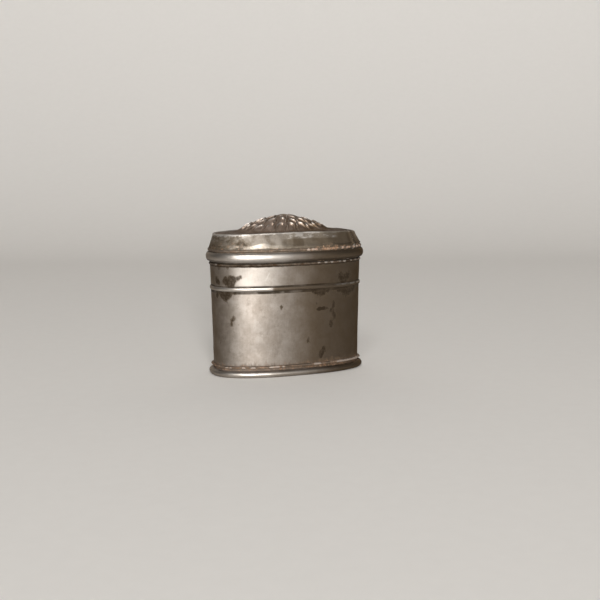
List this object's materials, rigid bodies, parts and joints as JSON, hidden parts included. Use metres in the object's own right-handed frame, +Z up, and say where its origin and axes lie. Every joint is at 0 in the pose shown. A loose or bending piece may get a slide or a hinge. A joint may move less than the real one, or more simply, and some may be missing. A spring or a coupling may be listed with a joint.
{
  "type": "lime container",
  "caption": "Small upright oval metal box for lime paste, with a lift-off lid that has a raised dome of petals, half-round edge wires and a moulded foot.",
  "frame": {"origin": "centre of the bottom of the bounding box, on the surface that the base rests on", "axes": "+X along the oval's long axis, +Y towards the back, +Z up through the lid"},
  "size_m": [0.0566, 0.0286, 0.0549],
  "materials": {
    "wall_silver": "worn satin silver with brown tarnish",
    "base_silver": "dull tarnished silver",
    "collar_silver": "rubbed silver, lightly tarnished",
    "roll_silver": "glossy handled silver",
    "wire_silver": "silver wire with brown residue along it",
    "bead_silver": "satin silver, rubbed bright on top",
    "lid_silver": "dented satin silver with mottled tarnish",
    "dome_silver": "chased silver, bright on the petals and dark between them"
  },
  "bodies": {
    "container": {"body_wall": "wall_silver", "base_plate": "base_silver", "inner_collar": "collar_silver", "foot_roll": "roll_silver", "foot_wire": "wire_silver", "body_bead": "bead_silver", "mouth_wire": "wire_silver"},
    "lid": {"lid_wall": "lid_silver", "lid_roll": "roll_silver", "lid_wire": "wire_silver", "lid_top": "dome_silver"}
  },
  "joints": [
    {"name": "lid_lift", "type": "slide", "parent": "container", "child": "lid", "axis": [0, 0, 1], "range_m": [0, 0.03]}
  ]
}
